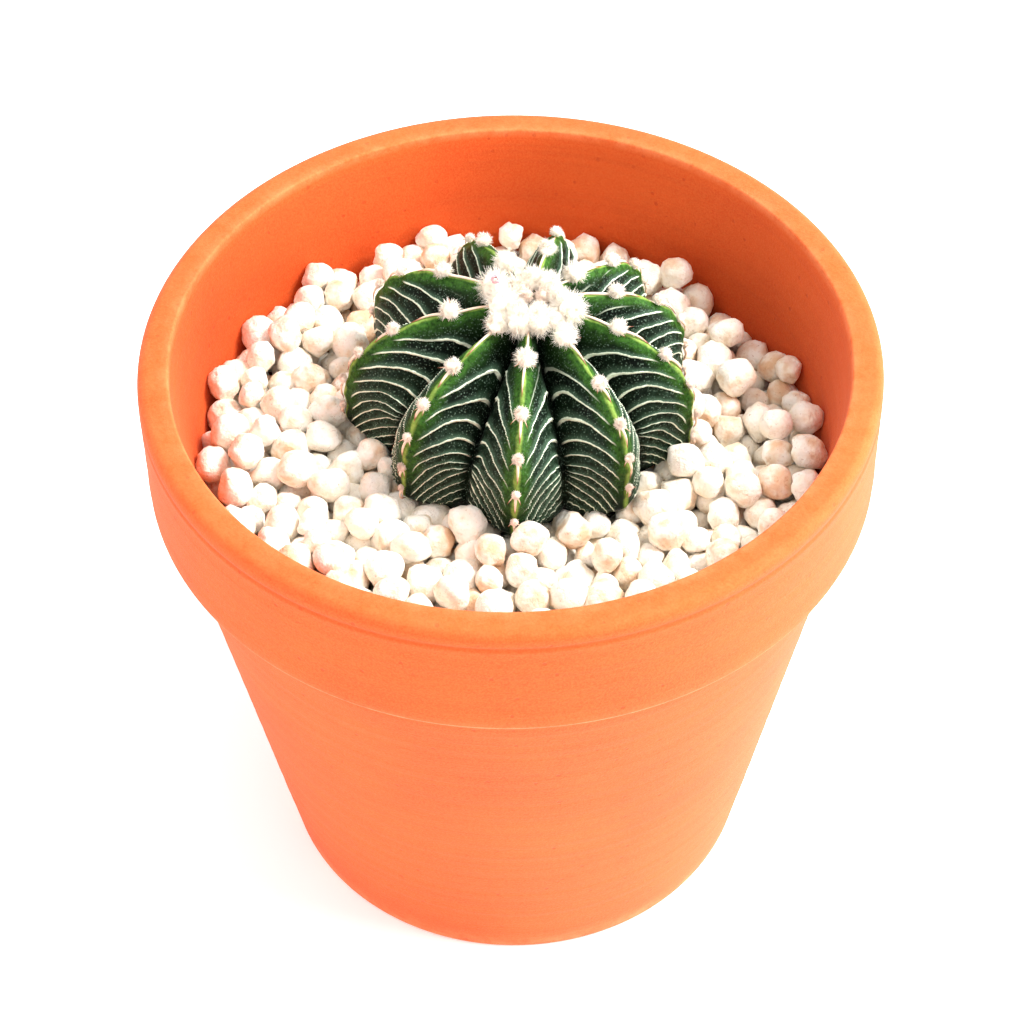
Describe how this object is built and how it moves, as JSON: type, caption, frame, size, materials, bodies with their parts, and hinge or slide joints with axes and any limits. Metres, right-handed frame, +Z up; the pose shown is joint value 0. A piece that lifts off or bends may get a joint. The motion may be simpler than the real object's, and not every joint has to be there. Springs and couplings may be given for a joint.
{
  "type": "potted round cactus",
  "caption": "Ribbed globe cactus with woolly areoles in a round clay pot, rooted in potting mix under a top dressing of pale rounded granules.",
  "frame": {"origin": "middle of the pot's foot, on the surface that it stands on", "axes": "+Z up along the pot's axis, -Y towards the viewer, +X to the viewer's right"},
  "size_m": [0.12, 0.12, 0.1185],
  "materials": {
    "terracotta": "unglazed fired clay, matte, bright orange, with fine pits and pale scuffs",
    "potting_mix": "dark crumbly peat and bark mix",
    "granules": "matte off-white rounded pumice with pinkish and tan blotches",
    "cactus_skin": "satin waxy skin, dark green with raised pale bands",
    "wool": "fuzzy cream-white wool with cream spines",
    "petals": "matte pink bud scales"
  },
  "bodies": {
    "root": {"pot": "terracotta", "potting_mix": "potting_mix", "granule_bed": "granules", "cactus_stem": "cactus_skin", "crown_wool": "wool", "flower_bud": "petals", "areole_row_01": "wool", "areole_row_02": "wool", "areole_row_03": "wool", "areole_row_04": "wool", "areole_row_05": "wool", "areole_row_06": "wool", "areole_row_07": "wool", "areole_row_08": "wool", "areole_row_09": "wool", "areole_row_10": "wool", "granule_01": "granules", "granule_02": "granules", "granule_03": "granules", "granule_04": "granules", "granule_05": "granules", "granule_06": "granules", "granule_07": "granules", "granule_08": "granules", "granule_09": "granules", "granule_10": "granules", "granule_11": "granules", "granule_12": "granules", "granule_13": "granules", "granule_14": "granules", "granule_15": "granules", "granule_16": "granules", "granule_17": "granules", "granule_18": "granules", "granule_19": "granules", "granule_20": "granules", "granule_21": "granules", "granule_22": "granules", "granule_23": "granules", "granule_24": "granules", "granule_25": "granules", "granule_26": "granules", "granule_27": "granules", "granule_28": "granules", "granule_29": "granules", "granule_30": "granules", "granule_31": "granules", "granule_32": "granules", "granule_33": "granules", "granule_34": "granules"}
  },
  "joints": []
}
